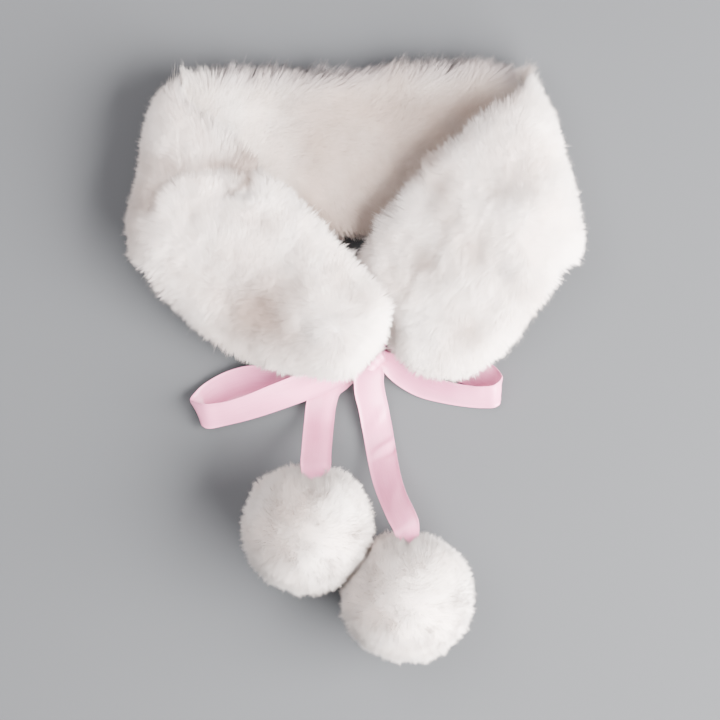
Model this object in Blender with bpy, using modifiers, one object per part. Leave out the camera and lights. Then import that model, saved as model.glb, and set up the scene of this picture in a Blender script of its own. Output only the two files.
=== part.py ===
"""Pom-pom scarf: a collar of long-pile faux fur, folded at both sides and laid flat, tied in front with a satin
ribbon bow whose two tails each end in a fur pompom.

Metres, +Z up. The scarf lies on its back on the plane z = 0, with the nape towards +Y and the pompoms towards -Y.
The origin is the middle of its box, on that plane.
"""

import math

import bmesh
import bpy
import numpy as np
from mathutils import Vector

MM = 0.001

# The fur band
OUTER_PILE = 15.0 * MM
INNER_PILE = 10.0 * MM
FOLD_RADIUS = 11.0 * MM
SEAM_GAP = 0.3 * MM
HOLLOW_LIMIT = 0.5
STRETCH_GAP = 0.45 * MM
RIM_ROUND = 32.0 * MM
RIM_THICKNESS = 0.9 * MM
BACK_HEIGHT = OUTER_PILE
ROW_STEP = 11.5 * MM
COLUMNS = 13

# The satin ribbon
RIBBON_THICKNESS = 1.0 * MM
RIBBON_STEP = 6.0 * MM

# The knot
KNOT_CENTRE = (12.0, 1.0, 10.8)
KNOT_CAGE = (21.0, 17.0, 18.0)
KNOT_TURN = -12.0
CUT_CLEARANCE = 0.45 * MM

# The pompoms, which press on each other: the left one keeps more of its round form
POMPOM_RADIUS = 45.0 * MM
CONTACT_SHARE = {"pompom_left": 0.545, "pompom_right": 0.455}
CORE_SHARE = 0.64
LOCK_PART = 0.9 * MM
LOCK_HALFWAY = 0.55
LOCK_WAIST = 0.80
LOCK_TIP = 0.42
FLOOR_CLEARANCE = 0.7 * MM
ENTRY_ELEVATION = 12.0
ENTRY_HALF_ANGLE = 27.0

FUR_COLOUR = (0.90, 0.87, 0.86, 1.0)
INNER_COLOUR = (0.84, 0.80, 0.77, 1.0)
SATIN_COLOUR = (0.80, 0.50, 0.58, 1.0)

# Sections of the band, from its lower (outer) rim to its upper (neck) rim, in millimetres. Columns: lower x, y, z,
# upper x, y, z, how far the middle arches up between them, and how full the pile is, from 0 to 1.
LEFT_FRONT = (
    (4.5, -8.5, 27.0, 17.5, 7.0, 29.0, 0.0, 0.35),
    (-3.0, -13.0, 26.5, 21.0, 15.0, 31.5, 1.0, 0.65),
    (-16.0, -13.0, 24.5, 24.0, 27.0, 34.8, 2.0, 0.88),
    (-35.0, -10.0, 20.5, 21.0, 41.0, 37.0, 3.0, 1.0),
    (-57.0, -6.0, 15.0, 7.0, 57.0, 37.0, 5.0, 1.0),
    (-79.0, 1.5, 12.0, -10.0, 76.0, 37.0, 6.5, 1.0),
    (-101.0, 16.0, 13.5, -31.0, 98.0, 37.0, 7.5, 1.0),
    (-120.0, 33.0, 22.0, -55.5, 121.5, 37.0, 7.0, 1.0),
    (-132.0, 46.5, 31.0, -82.0, 146.0, 37.0, 4.0, 1.0),
)
BACK = (
    (-103.0, 72.5, 15.0, -90.0, 195.0, 15.0, 0.0, 1.0),
    (-73.0, 77.0, 15.0, -66.0, 195.5, 15.0, 0.0, 1.0),
    (-40.0, 80.0, 15.0, -36.5, 195.5, 15.0, 0.0, 1.0),
    (-3.0, 80.5, 15.0, -3.0, 197.0, 15.0, 0.0, 1.0),
    (33.0, 80.0, 15.0, 29.0, 199.0, 15.0, 0.0, 1.0),
    (66.5, 76.5, 15.0, 57.0, 201.0, 15.0, 0.0, 1.0),
    (100.0, 71.0, 15.0, 82.0, 200.5, 15.0, 0.0, 1.0),
)
RIGHT_FRONT = (
    (131.5, 47.5, 32.0, 88.0, 163.0, 37.0, 4.0, 1.0),
    (122.0, 33.5, 26.0, 72.5, 148.5, 37.0, 6.5, 1.0),
    (112.0, 20.0, 20.0, 57.0, 135.0, 37.0, 8.0, 1.0),
    (101.0, 7.0, 16.0, 44.0, 120.0, 36.5, 7.5, 1.0),
    (88.0, -4.5, 13.5, 31.0, 103.5, 35.0, 6.5, 1.0),
    (71.5, -12.5, 13.0, 19.0, 88.0, 30.0, 4.0, 1.0),
    (55.5, -12.5, 15.0, 9.5, 74.0, 23.0, 1.0, 0.95),
    (42.0, -7.5, 16.5, 5.0, 58.5, 15.0, 0.0, 0.8),
    (32.0, -0.5, 15.5, 7.5, 42.0, 12.0, 0.0, 0.6),
    (24.0, 6.5, 14.0, 13.5, 25.0, 11.0, 0.0, 0.35),
)
# The folds, where the band leaves the back and where it reaches the front. Columns: x and y of a point on the
# fold's axis, its lean in degrees, and how far along the axis the lower rim and the upper rim lie.
FOLDS = {
    "left": ((-123.0, 107.0, 79.0, -41.0, 89.5), (-125.5, 107.0, 76.0, -52.0, 64.0)),
    "right": ((121.0, 113.5, 104.5, -49.0, 86.5), (122.7, 113.5, 106.5, -57.0, 64.5)),
}
FOLD_STEPS = 7

# Soft hollows in the pile of the two fronts, in millimetres. Columns: x, y, radius, depth.
HOLLOWS = (
    (-69.0, 124.0, 15.0, 3.6),
    (-95.0, 122.0, 9.0, 2.2),
    (-105.0, 92.0, 9.0, 2.4),
    (-64.0, 84.0, 10.0, 2.2),
    (-64.0, 38.0, 17.0, 3.0),
    (-43.0, 10.0, 12.0, 2.4),
    (-119.0, 62.0, 10.0, 1.8),
    (0.0, 38.0, 9.0, 2.0),
    (58.0, 112.0, 12.0, 2.6),
    (82.0, 74.0, 13.0, 2.4),
    (52.0, 62.0, 14.0, 2.6),
    (104.0, 112.0, 14.0, 1.8),
    (74.0, 24.0, 13.0, 2.4),
    (112.0, 50.0, 12.0, 1.8),
)

# Ribbon routes in millimetres and degrees. Columns: x, y, z, the plan angle of the ribbon's width, how far the
# width leans up from the floor, and the width there.
LEFT_LOOP = (
    (9.0, -0.5, 13.5, 108.0, 0.0, 9.0),
    (3.0, -3.0, 13.5, 109.0, 4.0, 12.0),
    (-5.0, -6.5, 13.0, 110.0, 8.0, 17.0),
    (-15.5, -11.5, 12.5, 112.0, 14.0, 20.0),
    (-30.0, -17.5, 12.0, 113.0, 20.0, 20.0),
    (-54.5, -27.0, 11.0, 111.0, 27.0, 20.0),
    (-74.0, -34.0, 10.5, 105.0, 36.0, 20.0),
    (-90.0, -38.0, 11.0, 101.0, 38.0, 20.0),
    (-100.5, -39.0, 11.5, 106.0, 28.0, 20.0),
    (-106.0, -37.0, 8.5, 115.0, 12.0, 20.0),
    (-102.5, -31.0, 4.8, 112.0, 6.0, 20.0),
    (-91.0, -22.0, 3.6, 102.0, 8.0, 20.0),
    (-74.0, -15.5, 3.4, 93.0, 10.0, 20.0),
    (-54.5, -15.0, 3.4, 90.0, 10.0, 20.0),
    (-30.0, -13.5, 3.0, 96.0, 6.0, 20.0),
    (-10.0, -8.0, 3.4, 104.0, 2.0, 18.0),
    (1.0, -3.0, 5.2, 108.0, 0.0, 12.0),
    (9.0, -0.5, 6.2, 108.0, 0.0, 9.0),
)
RIGHT_LOOP = (
    (15.0, 2.0, 9.6, 60.0, 0.0, 9.0),
    (20.0, -1.5, 9.0, 60.0, 0.0, 12.0),
    (27.0, -6.0, 8.0, 58.0, 8.0, 17.0),
    (36.0, -12.0, 8.0, 60.0, 20.0, 20.0),
    (46.0, -18.5, 8.2, 66.0, 34.0, 20.0),
    (60.0, -23.0, 8.6, 78.0, 42.0, 20.0),
    (73.5, -25.5, 9.4, 87.0, 44.0, 20.0),
    (86.0, -26.5, 10.8, 91.0, 44.0, 20.0),
    (94.0, -25.5, 11.8, 91.0, 40.0, 20.0),
    (98.0, -22.0, 9.6, 88.0, 34.0, 20.0),
    (94.0, -17.0, 6.4, 78.0, 24.0, 20.0),
    (86.0, -12.0, 4.4, 69.0, 14.0, 20.0),
    (73.0, -7.0, 3.2, 66.0, 8.0, 20.0),
    (57.0, -2.0, 2.6, 68.0, 4.0, 20.0),
    (40.0, 1.5, 2.6, 70.0, 0.0, 20.0),
    (28.0, 3.0, 3.8, 68.0, 0.0, 15.0),
    (21.0, 3.0, 4.8, 66.0, 0.0, 11.0),
    (15.0, 2.0, 5.4, 62.0, 0.0, 9.0),
)
LEFT_TAIL = (
    (9.0, 0.0, 9.8, -60.0, 0.0, 9.0),
    (4.0, -4.0, 9.6, -60.0, 0.0, 11.0),
    (-4.0, -8.5, 8.0, -56.0, 0.0, 16.0),
    (-12.5, -13.5, 7.2, -44.0, 0.0, 20.0),
    (-19.5, -20.5, 6.6, -24.0, 0.0, 20.0),
    (-22.5, -30.0, 6.4, -9.0, 2.0, 20.0),
    (-24.0, -42.0, 11.0, -5.0, 4.0, 20.0),
    (-25.0, -53.0, 23.0, -4.0, 5.0, 20.0),
    (-25.7, -63.0, 37.0, -3.0, 4.0, 20.0),
    (-26.0, -71.0, 49.0, -2.0, 2.0, 20.0),
    (-26.4, -79.0, 55.0, 0.0, 0.0, 17.0),
    (-28.0, -89.0, 52.5, 4.0, 0.0, 12.0),
    (-29.5, -99.0, 50.0, 6.0, 0.0, 11.0),
)
RIGHT_TAIL = (
    (12.0, 2.0, 15.0, 4.0, 0.0, 9.0),
    (11.0, -4.0, 16.2, 5.0, 0.0, 12.0),
    (9.6, -10.0, 16.0, 6.0, 0.0, 19.0),
    (9.3, -18.0, 13.6, 8.0, 0.0, 20.0),
    (12.5, -34.5, 8.0, 11.0, -4.0, 20.0),
    (15.5, -50.5, 6.2, 11.5, 3.0, 20.0),
    (18.2, -66.5, 11.0, 12.0, 8.0, 20.0),
    (21.7, -82.5, 24.0, 16.0, 16.0, 20.0),
    (26.0, -94.5, 37.0, 23.0, 22.0, 20.0),
    (30.5, -104.0, 47.0, 26.0, 20.0, 20.0),
    (34.0, -112.0, 52.0, 22.0, 12.0, 18.0),
    (34.8, -121.0, 51.0, 12.0, 4.0, 15.0),
    (34.6, -130.0, 48.5, 4.0, 0.0, 12.0),
    (34.3, -141.0, 46.0, 0.0, 0.0, 11.0),
)
LEFT_TIE = (
    (11.55, -1.2, 28.0, 50.0, 5.0, 15.0),
    (14.2, -3.4, 27.2, 50.0, 5.0, 13.0),
    (16.0, -4.4, 24.4, 50.0, 3.0, 11.0),
    (15.4, -3.2, 20.8, 52.0, 0.0, 10.0),
    (12.8, -0.6, 17.4, 54.0, 0.0, 9.0),
)
RIGHT_TIE = (
    (18.25, 15.1, 12.4, 120.0, -7.0, 14.0),
    (16.6, 12.2, 12.4, 118.0, -4.0, 12.0),
    (14.8, 7.6, 12.2, 112.0, -2.0, 10.0),
    (13.0, 2.0, 12.0, 108.0, 0.0, 9.0),
)
# The pompoms, in millimetres. Columns: centre x, y, z, and the plan angle at which the tail enters.
POMPOMS = {
    "pompom_left": (-31.0, -112.7, 45.7, 82.0),
    "pompom_right": (34.3, -158.0, 42.5, 89.0),
}


def clear_scene():
    for obj in list(bpy.data.objects):
        bpy.data.objects.remove(obj)


def collection(name):
    made = bpy.data.collections.new(name)
    bpy.context.scene.collection.children.link(made)
    return made


def material(name, colour, roughness, sheen):
    """A Principled finish, matt for fur and glossier for satin."""
    made = bpy.data.materials.new(name)
    made.use_nodes = True
    shader = made.node_tree.nodes["Principled BSDF"]
    shader.inputs["Base Color"].default_value = colour
    shader.inputs["Roughness"].default_value = roughness
    shader.inputs["Metallic"].default_value = 0.0
    shader.inputs["Sheen Weight"].default_value = sheen
    made.diffuse_color = colour
    return made


def unit(vectors):
    return vectors / np.maximum(np.linalg.norm(vectors, axis=-1, keepdims=True), 1e-12)


class Curve:
    """A smooth curve through the rows of a table, by distance along the middle of its points."""

    def __init__(self, rows, middle):
        self.rows = np.array(rows, float)
        steps = np.linalg.norm(np.diff(middle, axis=0), axis=1)
        self.at = np.concatenate([[0.0], np.cumsum(steps)])
        self.slope = np.gradient(self.rows, self.at, axis=0)
        self.length = self.at[-1]

    def __call__(self, where):
        where = np.clip(np.asarray(where, float), 0.0, self.length)
        i = np.clip(np.searchsorted(self.at, where, side="right") - 1, 0, len(self.at) - 2)
        span = self.at[i + 1] - self.at[i]
        t = (where - self.at[i]) / span
        t, span = t[:, None], span[:, None]
        return (
            (2 * t**3 - 3 * t**2 + 1) * self.rows[i]
            + (t**3 - 2 * t**2 + t) * span * self.slope[i]
            + (3 * t**2 - 2 * t**3) * self.rows[i + 1]
            + (t**3 - t**2) * span * self.slope[i + 1]
        )


def fold_rows(side, turns):
    """Sections through one side fold: the band turns about an axis that leans with the crease."""
    back, front = np.array(FOLDS[side])
    radius = FOLD_RADIUS / MM
    rows = []
    for turn in turns:
        x, y, lean, low, up = back + (front - back) * turn / math.pi
        along = np.array([math.cos(math.radians(lean)), math.sin(math.radians(lean)), 0.0])
        outward = np.array([-along[1], along[0], 0.0]) * (1.0 if side == "left" else -1.0)
        height = BACK_HEIGHT / MM + radius * (1 - math.cos(turn))
        axis = np.array([x, y, height]) + outward * radius * math.sin(turn)
        rows.append((*(axis + along * low), *(axis + along * up), 0.0, 1.0))
    return rows


def band_curve():
    """The whole band's sections as one curve, with the distances at which the back begins and ends."""
    turns = np.linspace(0.0, math.pi, FOLD_STEPS)
    left = fold_rows("left", turns[::-1])
    right = fold_rows("right", turns)
    rows = np.array([*LEFT_FRONT, *left, *BACK, *right, *RIGHT_FRONT])
    rows[:, :7] *= MM
    curve = Curve(rows, (rows[:, :3] + rows[:, 3:6]) / 2)
    back_start = curve.at[len(LEFT_FRONT) + len(left) - 1]
    back_end = curve.at[len(LEFT_FRONT) + len(left) + len(BACK)]
    return curve, back_start, back_end


def band_points(curve, where, across):
    """Points of the seam surface between the two panels, and its outward normals."""

    def surface(at):
        rows = curve(at)
        low, up = rows[:, None, :3], rows[:, None, 3:6]
        points = low + (up - low) * across[None, :, None]
        points[..., 2] += rows[:, 6:7] * (4 * across * (1 - across))[None, :]
        return points

    nudge = 0.5 * MM
    points = surface(where)
    along = surface(np.minimum(where + nudge, curve.length)) - surface(np.maximum(where - nudge, 0.0))
    return points, -unit(np.cross(along, np.gradient(points, axis=1)))


def pile_share(curve, where, points, across):
    """How full the pile is at each point: it rounds off to nothing at both rims."""
    width = np.linalg.norm(points[:, -1] - points[:, 0], axis=1)[:, None]
    to_rim = np.minimum(across, 1 - across)[None, :] * width
    rim = np.clip(to_rim / np.minimum(RIM_ROUND, width / 2), 0, 1)
    return np.sqrt(1 - (1 - rim) ** 2) * np.clip(curve(where)[:, 7:8], 0, 1)


def hollow_depth(points):
    """How much lower the pile lies in the soft hollows."""
    depth = np.zeros(points.shape[:2])
    for x, y, radius, deep in HOLLOWS:
        away = (points[..., 0] - x * MM) ** 2 + (points[..., 1] - y * MM) ** 2
        depth += deep * MM * np.exp(-away / (radius * MM) ** 2)
    return depth


def grid_mesh(name, near, far):
    """A closed mesh between two grids of points that face each other."""
    rows, columns = near.shape[:2]
    mesh = bmesh.new()
    bottom = [[mesh.verts.new(Vector(near[i, j])) for j in range(columns)] for i in range(rows)]
    top = [[mesh.verts.new(Vector(far[i, j])) for j in range(columns)] for i in range(rows)]
    for i in range(rows - 1):
        for j in range(columns - 1):
            for grid in (bottom, top):
                mesh.faces.new((grid[i][j], grid[i][j + 1], grid[i + 1][j + 1]))
                mesh.faces.new((grid[i][j], grid[i + 1][j + 1], grid[i + 1][j]))
    rim = (
        [(0, j) for j in range(columns)]
        + [(i, columns - 1) for i in range(1, rows)]
        + [(rows - 1, j) for j in range(columns - 2, -1, -1)]
        + [(i, 0) for i in range(rows - 2, 0, -1)]
    )
    for (a, b), (c, d) in zip(rim, rim[1:] + rim[:1]):
        mesh.faces.new((bottom[a][b], top[a][b], top[c][d], bottom[c][d]))
    bmesh.ops.recalc_face_normals(mesh, faces=mesh.faces)
    made = bpy.data.meshes.new(name)
    mesh.to_mesh(made)
    mesh.free()
    return made


def add(name, mesh, finish, group, angle=50.0):
    made = bpy.data.objects.new(name, mesh)
    mesh.materials.append(finish)
    mesh.shade_smooth()
    mesh.set_sharp_from_angle(angle=math.radians(angle))
    group.objects.link(made)
    return made


def band_panel(name, curve, first, last, outside, finish, group):
    """One stretch of the outer or the inner fur panel, from its backing at the seam to the tips of its pile."""
    count = max(3, round((last - first) / ROW_STEP)) + 1
    where = np.linspace(first, last, count)
    across = (1 - np.cos(np.linspace(0, math.pi, COLUMNS))) / 2
    points, normals = band_points(curve, where, across)
    share = pile_share(curve, where, points, across)
    pile = OUTER_PILE if outside else INNER_PILE
    height = np.maximum((pile - SEAM_GAP / 2) * share, RIM_THICKNESS)
    facing_up = normals[..., 2] > 0.5
    if outside:
        height -= np.where(facing_up, np.minimum(hollow_depth(points) * share, height * HOLLOW_LIMIT), 0.0)
    side = normals if outside else -normals
    near = points + side * SEAM_GAP / 2
    far = near + side * height[..., None]
    far[..., 2] = np.maximum(far[..., 2], 0.0)
    return add(name, grid_mesh(name, near, far), finish, group)


def build_band(fur, inner_fur, group):
    curve, back_start, back_end = band_curve()
    half = STRETCH_GAP / 2
    stretches = {
        "left_front": (0.0, back_start - half),
        "back": (back_start + half, back_end - half),
        "right_front": (back_end + half, curve.length),
    }
    for stretch, (first, last) in stretches.items():
        band_panel(f"outer_fur_{stretch}", curve, first, last, True, fur, group)
        band_panel(f"inner_fur_{stretch}", curve, first, last, False, inner_fur, group)


def knot_mesh(name, grow):
    """A soft cushion-shaped knot: a box cage rounded by subdivision."""
    bpy.ops.mesh.primitive_cube_add(size=1.0)
    cage = bpy.context.active_object
    cage.name = name
    cage.data.name = name
    for vertex in cage.data.vertices:
        for axis, size in enumerate(KNOT_CAGE):
            vertex.co[axis] *= size * MM + 2 * grow
    cage.location = Vector(KNOT_CENTRE) * MM
    cage.rotation_euler = (0.0, 0.0, math.radians(KNOT_TURN))
    rounding = cage.modifiers.new("rounding", "SUBSURF")
    rounding.levels = 2
    rounding.render_levels = 2
    return cage


def move_to(obj, group):
    for owner in list(obj.users_collection):
        owner.objects.unlink(obj)
    group.objects.link(obj)


def as_cutter(obj, group):
    move_to(obj, group)
    obj.hide_render = True
    obj.display_type = "WIRE"
    return obj


def core_cutter(name, centre, group):
    radius = POMPOM_RADIUS * CORE_SHARE + CUT_CLEARANCE
    bpy.ops.mesh.primitive_ico_sphere_add(subdivisions=2, radius=radius, location=centre)
    cutter = bpy.context.active_object
    cutter.name = name
    return as_cutter(cutter, group)


def ribbon(name, table, finish, cutters, group):
    """A stretch of ribbon: an open strip along its route, thickened, and cut where it enters the knot or a pompom."""
    rows = np.array(table, float)
    rows[:, :3] *= MM
    rows[:, 5] *= MM
    curve = Curve(rows, rows[:, :3])
    stations = curve(np.linspace(0.0, curve.length, max(4, round(curve.length / RIBBON_STEP)) + 1))
    centre, plan, lean, width = stations[:, :3], stations[:, 3], stations[:, 4], stations[:, 5]
    plan, lean = np.radians(plan), np.radians(lean)
    across = np.stack([np.cos(plan) * np.cos(lean), np.sin(plan) * np.cos(lean), np.sin(lean)], axis=1)
    half = across * width[:, None] / 2
    strip = bmesh.new()
    edges = [
        [strip.verts.new(Vector(point)) for point in side] for side in (centre - half, centre + half)
    ]
    for i in range(len(stations) - 1):
        strip.faces.new((edges[0][i], edges[0][i + 1], edges[1][i + 1], edges[1][i]))
    mesh = bpy.data.meshes.new(name)
    strip.to_mesh(mesh)
    strip.free()
    made = add(name, mesh, finish, group)
    wall = made.modifiers.new("wall", "SOLIDIFY")
    wall.thickness = RIBBON_THICKNESS
    wall.offset = 0.0
    wall.use_even_offset = True
    for cutter in cutters:
        cut = made.modifiers.new("cut_" + cutter.name, "BOOLEAN")
        cut.operation = "DIFFERENCE"
        cut.object = cutter
    return made


def lock_reach(centre, direction, other, share, tip_width):
    """How far a lock reaches from its pompom's centre before it meets the floor or the other pompom."""
    reach = POMPOM_RADIUS
    if direction.z < -0.05:
        level = centre.z - FLOOR_CLEARANCE - tip_width * math.sqrt(1 - direction.z**2)
        reach = min(reach, level / -direction.z)
    apart = other - centre
    toward = direction.dot(apart.normalized())
    if toward > 0.3:
        reach = min(reach, (apart.length * share - SEAM_GAP - tip_width * math.sqrt(1 - toward**2)) / toward)
    return reach


def build_pompom(name, finish, group):
    """A ball of 80 three-sided locks that stand apart but for their roots in a round core."""
    x, y, z, entry_plan = POMPOMS[name]
    centre = Vector((x, y, z)) * MM
    other = next(Vector(row[:3]) * MM for key, row in POMPOMS.items() if key != name)
    plan, rise = math.radians(entry_plan), math.radians(ENTRY_ELEVATION)
    entry = Vector((math.cos(plan) * math.cos(rise), math.sin(plan) * math.cos(rise), math.sin(rise)))
    core = POMPOM_RADIUS * CORE_SHARE
    ball = bmesh.new()
    bmesh.ops.create_icosphere(ball, subdivisions=2, radius=core)
    roots = [f for f in ball.faces if f.normal.angle(entry) > math.radians(ENTRY_HALF_ANGLE)]
    bmesh.ops.inset_individual(ball, faces=roots, thickness=LOCK_PART, use_even_offset=True)
    for root in roots:
        direction = root.calc_center_median().normalized()
        size = max((v.co - root.calc_center_median()).length for v in root.verts)
        reach = lock_reach(centre, direction, other, CONTACT_SHARE[name], size * LOCK_TIP)
        face = root
        for share, narrow in ((LOCK_HALFWAY, LOCK_WAIST), (1.0, LOCK_TIP)):
            grown = bmesh.ops.extrude_discrete_faces(ball, faces=[face])["faces"][0]
            middle = grown.calc_center_median()
            level = core + (reach - core) * share
            scale = narrow / (LOCK_WAIST if share == 1.0 else 1.0)
            for vertex in grown.verts:
                vertex.co = direction * level + (vertex.co - middle) * scale
            face = grown
    bmesh.ops.recalc_face_normals(ball, faces=ball.faces)
    mesh = bpy.data.meshes.new(name)
    ball.to_mesh(mesh)
    ball.free()
    made = add(name, mesh, finish, group, angle=30.0)
    made.location = centre
    return made


def build():
    clear_scene()
    scarf = collection("pompom_scarf")
    cutters = collection("cutters")
    fur = material("white_fur", FUR_COLOUR, 0.9, 0.4)
    inner_fur = material("inner_fur", INNER_COLOUR, 0.95, 0.3)
    satin = material("pink_satin", SATIN_COLOUR, 0.35, 0.2)

    build_band(fur, inner_fur, scarf)

    knot = knot_mesh("knot", 0.0)
    move_to(knot, scarf)
    knot.data.materials.append(satin)
    knot.data.shade_smooth()
    knot_cutter = as_cutter(knot_mesh("knot_cutter", CUT_CLEARANCE), cutters)

    core_cutters = {}
    for name, row in POMPOMS.items():
        build_pompom(name, fur, scarf)
        core_cutters[name] = core_cutter(name + "_cutter", Vector(row[:3]) * MM, cutters)

    ribbon("ribbon_loop_left", LEFT_LOOP, satin, [knot_cutter], scarf)
    ribbon("ribbon_loop_right", RIGHT_LOOP, satin, [knot_cutter], scarf)
    ribbon("ribbon_tail_left", LEFT_TAIL, satin, [knot_cutter, core_cutters["pompom_left"]], scarf)
    ribbon("ribbon_tail_right", RIGHT_TAIL, satin, [knot_cutter, core_cutters["pompom_right"]], scarf)
    ribbon("ribbon_tie_left", LEFT_TIE, satin, [knot_cutter], scarf)
    ribbon("ribbon_tie_right", RIGHT_TIE, satin, [knot_cutter], scarf)


build()
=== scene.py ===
"""Looks of the pom-pom scarf: dense white faux-fur pile on both panels of the band and on the two pompoms,
and a pale pink satin ribbon bow. The scarf lies flat on a pale floor and is seen from straight above."""

import math

import bpy
import numpy as np
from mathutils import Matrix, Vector, kdtree


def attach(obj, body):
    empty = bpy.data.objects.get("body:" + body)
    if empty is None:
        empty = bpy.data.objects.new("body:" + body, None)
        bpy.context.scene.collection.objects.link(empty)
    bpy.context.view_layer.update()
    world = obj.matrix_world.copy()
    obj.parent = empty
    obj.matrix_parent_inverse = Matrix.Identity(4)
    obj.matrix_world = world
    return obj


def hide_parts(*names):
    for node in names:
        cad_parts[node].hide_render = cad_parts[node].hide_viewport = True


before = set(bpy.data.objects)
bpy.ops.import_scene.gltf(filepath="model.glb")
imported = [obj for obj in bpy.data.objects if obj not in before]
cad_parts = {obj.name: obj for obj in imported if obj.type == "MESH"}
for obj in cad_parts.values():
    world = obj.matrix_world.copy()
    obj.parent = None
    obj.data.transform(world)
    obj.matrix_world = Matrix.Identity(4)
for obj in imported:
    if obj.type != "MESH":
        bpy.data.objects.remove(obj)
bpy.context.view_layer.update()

MM = 0.001

# The fur band, as in the CAD, and the width of its flat strip
OUTER_PILE = 15.0 * MM
INNER_PILE = 10.0 * MM
FOLD_RADIUS = 11.0 * MM
SEAM_GAP = 0.3 * MM
RIM_ROUND = 32.0 * MM
BACK_HEIGHT = OUTER_PILE

# The pile: how far its tips stand off the dense undercoat, how the undercoat draws in from the rims and
# closes at the band's ends, how thin it may get, and how much of the outer panel's lumps the inner panel has
TIP_DEPTH = 4.2 * MM
RIM_INSET = 5.2 * MM
NAPE_INSET = 12.5 * MM
CORNER_RADIUS = 15.0 * MM
SIDE_DEPTH = 2.6 * MM
END_CLOSE = 12.0 * MM
LEAST_PILE = 0.3 * MM
INNER_LUMPS = 0.35
FLOOR_Z = 0.4 * MM
HAIR_WIDTH = 0.30 * MM

# How the band's hairs lie: degrees from the surface's normal in the open, how much less on steep sides, and
# where the pile is long; how that varies by patch and by hair; how far the nap wanders by patch and by hair
LEAN = 60.0
LEAN_LESS = 10.0
LEAN_LONG = 70.0
LEAN_PATCHES = 10.0
LEAN_SPREAD = 6.0
SWAY = 0.6
STRAY = 0.13
# How many hairs draw together in a tuft and in a lock, and what share of them are stray guard hairs
TUFT_HAIRS = 280.0
LOCK_HAIRS = 12.0
GUARD_SHARE = 0.08
# Where hairs grow on a panel that is mostly hidden: this share of its width at each rim, and these lengths
# at its ends and at the back's upper corners; and how dense they are on the inner back under the fronts
RIM_SHARE = 0.14
END_REACH = 26.0 * MM
CORNER_REACH = 22.0 * MM
UNDER_FRONTS = 0.4
# The grid that shares the hairs out over a panel: its step along the strip, and its columns across
GRID_STEP = 2.0 * MM
GRID_COLUMNS = 64

# The satin ribbon
RIBBON_THICKNESS = 0.35 * MM
RIBBON_STEP = 1.3 * MM
RIBBON_BOW = 1.1 * MM
PLEAT_HEIGHT = 0.6 * MM
RIBBON_COLUMNS = 13

# The pompoms
POMPOM_HAIRS = 118000
POMPOM_LOCK_HAIRS = 16.0
POMPOM_RADIUS = 45.0 * MM
POMPOM_BODY = 38.0 * MM

# Sections of the band, from its lower (outer) rim to its upper (neck) rim, in millimetres. Columns: lower x,
# y, z, upper x, y, z, how far the middle arches up between them, and how full the pile is, from 0 to 1.
LEFT_FRONT = (
    (4.5, -8.5, 27, 17.5, 7, 29, 0, 0.35),
    (-3, -13, 26.5, 21, 15, 31.5, 1, 0.65),
    (-16, -13, 24.5, 24, 27, 34.8, 2, 0.88),
    (-35, -10, 20.5, 21, 41, 37, 3, 1),
    (-57, -6, 15, 7, 57, 37, 5, 1),
    (-79, 1.5, 12, -10, 76, 37, 6.5, 1),
    (-101, 16, 13.5, -31, 98, 37, 7.5, 1),
    (-120, 33, 22, -55.5, 121.5, 37, 7, 1),
    (-132, 46.5, 31, -82, 146, 37, 4, 1),
)
BACK = (
    (-103, 72.5, 15, -90, 195, 15, 0, 1),
    (-73, 77, 15, -66, 195.5, 15, 0, 1),
    (-40, 80, 15, -36.5, 195.5, 15, 0, 1),
    (-3, 80.5, 15, -3, 197, 15, 0, 1),
    (33, 80, 15, 29, 199, 15, 0, 1),
    (66.5, 76.5, 15, 57, 201, 15, 0, 1),
    (100, 71, 15, 82, 200.5, 15, 0, 1),
)
RIGHT_FRONT = (
    (131.5, 47.5, 32, 88, 163, 37, 4, 1),
    (122, 33.5, 26, 72.5, 148.5, 37, 6.5, 1),
    (112, 20, 20, 57, 135, 37, 8, 1),
    (101, 7, 16, 44, 120, 36.5, 7.5, 1),
    (88, -4.5, 13.5, 31, 103.5, 35, 6.5, 1),
    (71.5, -12.5, 13, 19, 88, 30, 4, 1),
    (55.5, -12.5, 15, 9.5, 74, 23, 1, 0.95),
    (42, -7.5, 16.5, 5, 58.5, 15, 0, 0.8),
    (32, -0.5, 15.5, 7.5, 42, 12, 0, 0.6),
    (24, 6.5, 14, 13.5, 25, 11, 0, 0.35),
)
# The folds, where the band leaves the back and where it reaches the front. Columns: x and y of a point on the
# fold's axis, its lean in degrees, and how far along the axis the lower rim and the upper rim lie.
FOLDS = {
    "left": ((-123, 107, 79, -41, 89.5), (-125.5, 107, 76, -52, 64)),
    "right": ((121, 113.5, 104.5, -49, 86.5), (122.7, 113.5, 106.5, -57, 64.5)),
}
FOLD_STEPS = 7

# Lumps in the pile, broad to fine. Columns: width and height in millimetres, and the seed of the draw.
LUMPS = ((24.0, 1.7, 1), (10.0, 0.9, 2), (4.5, 0.35, 3))
# Soft hollows in the pile of the two fronts, with painted shade in them, in millimetres. Columns: x, y,
# radius, depth.
HOLLOWS = (
    (-69, 122, 15, 3.6),
    (-94, 122, 8, 1.6),
    (-106, 92, 7, 1.6),
    (-90, 62, 12, 1.4),
    (-64, 86, 9, 1.8),
    (-62, 30, 25, 4.6),
    (-38, 14, 13, 1.8),
    (-144, 92, 20, 2),
    (-126, 128, 12, 1.4),
    (0, 38, 9, 2),
    (58, 112, 12, 2.6),
    (82, 74, 13, 2.4),
    (52, 62, 14, 2.6),
    (104, 112, 14, 1.8),
    (74, 24, 13, 2.4),
    (112, 50, 12, 1.8),
)
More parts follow.
